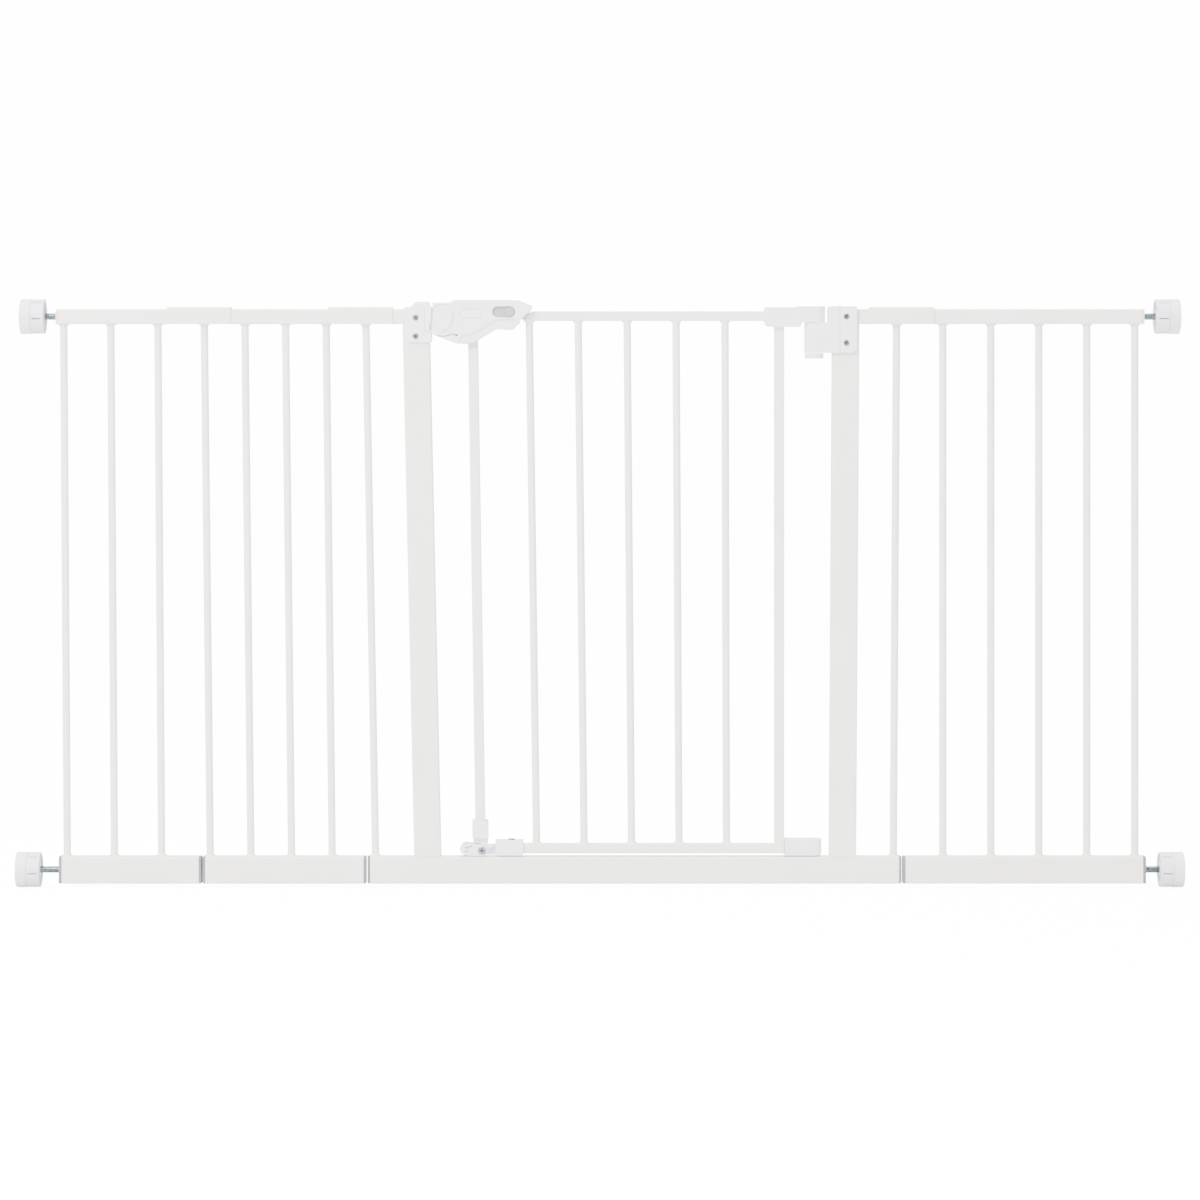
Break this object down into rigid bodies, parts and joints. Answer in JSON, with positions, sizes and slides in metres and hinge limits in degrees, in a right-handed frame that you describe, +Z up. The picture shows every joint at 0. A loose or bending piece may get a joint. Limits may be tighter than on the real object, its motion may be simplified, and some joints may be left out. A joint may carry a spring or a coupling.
{
  "type": "safety baby gate",
  "caption": "White pressure-fit safety gate: barred frame with extension panels, a swinging door with a lifting handle, and screw-out wall cups.",
  "frame": {"origin": "under the middle of the gate, level with the lowest edge of the bottom wall cups", "axes": "+X along the gate's width towards the hinge side, +Y through its depth towards the back, +Z up"},
  "size_m": [1.5444, 0.0466, 0.7785],
  "materials": {
    "white_paint": "satin powder coat",
    "white_plastic": "fine satin moulded",
    "grey_plastic": "matt moulded",
    "light_grey_plastic": "satin moulded",
    "zinc_steel": "bright zinc plate",
    "white_rubber": "matt"
  },
  "bodies": {
    "frame": {"base_frame": "white_paint", "left_middle_panel": "white_paint", "left_end_panel": "white_paint", "right_end_panel": "white_paint", "left_outer_sleeve": "white_paint", "left_inner_sleeve": "white_paint", "right_sleeve": "white_paint", "left_outer_joint_plug_a": "grey_plastic", "left_outer_joint_plug_b": "grey_plastic", "left_inner_joint_plug_a": "grey_plastic", "left_inner_joint_plug_b": "grey_plastic", "right_joint_plug_a": "grey_plastic", "right_joint_plug_b": "grey_plastic", "left_top_end_plug": "grey_plastic", "left_bottom_end_plug": "grey_plastic", "right_top_end_plug": "grey_plastic", "right_bottom_end_plug": "grey_plastic", "left_top_nut": "zinc_steel", "left_bottom_nut": "zinc_steel", "right_top_nut": "zinc_steel", "right_bottom_nut": "zinc_steel", "latch_keeper": "white_plastic", "hinge_bracket": "white_plastic", "latch_keeper_screw_upper": "zinc_steel", "latch_keeper_screw_lower": "zinc_steel", "hinge_bracket_screw_upper": "zinc_steel", "hinge_bracket_screw_lower": "zinc_steel", "hinge_spring": "zinc_steel", "hinge_barrel_cap": "white_plastic", "lower_hinge_pin": "zinc_steel"},
    "gate": {"gate_frame": "white_paint", "hinge_arm": "white_plastic", "hinge_pin": "zinc_steel", "lower_hinge_block": "white_plastic", "latch_housing": "white_plastic", "foot_bracket": "white_plastic", "foot_pivot_screw": "zinc_steel", "foot_clamp_screw": "zinc_steel"},
    "handle": {"handle_cover": "white_plastic", "handle_grip": "white_plastic", "handle_pivot": "white_plastic"},
    "slider": {"safety_slider": "light_grey_plastic"},
    "bolt": {"latch_bolt": "white_plastic"},
    "lock_bar": {"lock_bar": "white_paint", "lock_bar_cap": "white_plastic"},
    "foot": {"latch_foot": "white_plastic"},
    "left_top_cup": {"left_top_wall_cup": "white_rubber"},
    "left_top_wheel": {"left_top_spindle": "zinc_steel", "left_top_hand_wheel": "white_plastic"},
    "left_bottom_cup": {"left_bottom_wall_cup": "white_rubber"},
    "left_bottom_wheel": {"left_bottom_spindle": "zinc_steel", "left_bottom_hand_wheel": "white_plastic"},
    "right_top_cup": {"right_top_wall_cup": "white_rubber"},
    "right_top_wheel": {"right_top_spindle": "zinc_steel", "right_top_hand_wheel": "white_plastic"},
    "right_bottom_cup": {"right_bottom_wall_cup": "white_rubber"},
    "right_bottom_wheel": {"right_bottom_spindle": "zinc_steel", "right_bottom_hand_wheel": "white_plastic"}
  },
  "joints": [
    {"name": "gate_swing", "type": "hinge", "parent": "frame", "child": "gate", "pos_m": [0.2834, 0, 0.4], "axis": [0, 0, 1], "range_deg": [-90, 90], "stiffness_Nm_per_rad": 0.35},
    {"name": "handle_lift", "type": "hinge", "parent": "gate", "child": "handle", "pos_m": [-0.2075, 0, 0.753], "axis": [0, -1, 0], "range_deg": [0, 12]},
    {"name": "slider_slide", "type": "slide", "parent": "handle", "child": "slider", "axis": [1, 0, 0], "range_m": [-0.008, 0], "stiffness_N_per_m": 120, "springref_m": 0.004},
    {"name": "bolt_retract", "type": "slide", "parent": "gate", "child": "bolt", "axis": [1, 0, 0], "range_m": [0, 0.0065]},
    {"name": "lock_bar_lift", "type": "slide", "parent": "gate", "child": "lock_bar", "axis": [-0.0151, 0, 0.9999], "range_m": [0, 0.0085]},
    {"name": "foot_turn", "type": "hinge", "parent": "gate", "child": "foot", "pos_m": [-0.1558, 0, 0.04915], "axis": [0, 1, 0], "range_deg": [0, 16]},
    {"name": "left_top_cup_travel", "type": "slide", "parent": "frame", "child": "left_top_cup", "axis": [-1, 0, 0], "range_m": [-0.0062, 0.0122]},
    {"name": "left_top_wheel_turn", "type": "hinge", "parent": "left_top_cup", "child": "left_top_wheel", "pos_m": [-0.74, 0, 0.75525], "axis": [-1, 0, 0], "range_deg": [-1440, 2880]},
    {"name": "left_bottom_cup_travel", "type": "slide", "parent": "frame", "child": "left_bottom_cup", "axis": [-1, 0, 0], "range_m": [-0.0062, 0.0122]},
    {"name": "left_bottom_wheel_turn", "type": "hinge", "parent": "left_bottom_cup", "child": "left_bottom_wheel", "pos_m": [-0.74, 0, 0.02325], "axis": [-1, 0, 0], "range_deg": [-1440, 2880]},
    {"name": "right_top_cup_travel", "type": "slide", "parent": "frame", "child": "right_top_cup", "axis": [1, 0, 0], "range_m": [-0.0062, 0.0122]},
    {"name": "right_top_wheel_turn", "type": "hinge", "parent": "right_top_cup", "child": "right_top_wheel", "pos_m": [0.74, 0, 0.75525], "axis": [1, 0, 0], "range_deg": [-1440, 2880]},
    {"name": "right_bottom_cup_travel", "type": "slide", "parent": "frame", "child": "right_bottom_cup", "axis": [1, 0, 0], "range_m": [-0.0062, 0.0122]},
    {"name": "right_bottom_wheel_turn", "type": "hinge", "parent": "right_bottom_cup", "child": "right_bottom_wheel", "pos_m": [0.74, 0, 0.02325], "axis": [1, 0, 0], "range_deg": [-1440, 2880]}
  ],
  "couplings": [
    {"joint": "bolt_retract", "follows": "handle_lift", "m_per_rad": 0.0286},
    {"joint": "lock_bar_lift", "follows": "handle_lift", "m_per_rad": 0.0382},
    {"joint": "foot_turn", "follows": "handle_lift", "ratio": 1.25},
    {"joint": "left_top_cup_travel", "follows": "left_top_wheel_turn", "m_per_rad": 0.00023873},
    {"joint": "left_bottom_cup_travel", "follows": "left_bottom_wheel_turn", "m_per_rad": 0.00023873},
    {"joint": "right_top_cup_travel", "follows": "right_top_wheel_turn", "m_per_rad": 0.00023873},
    {"joint": "right_bottom_cup_travel", "follows": "right_bottom_wheel_turn", "m_per_rad": 0.00023873}
  ]
}
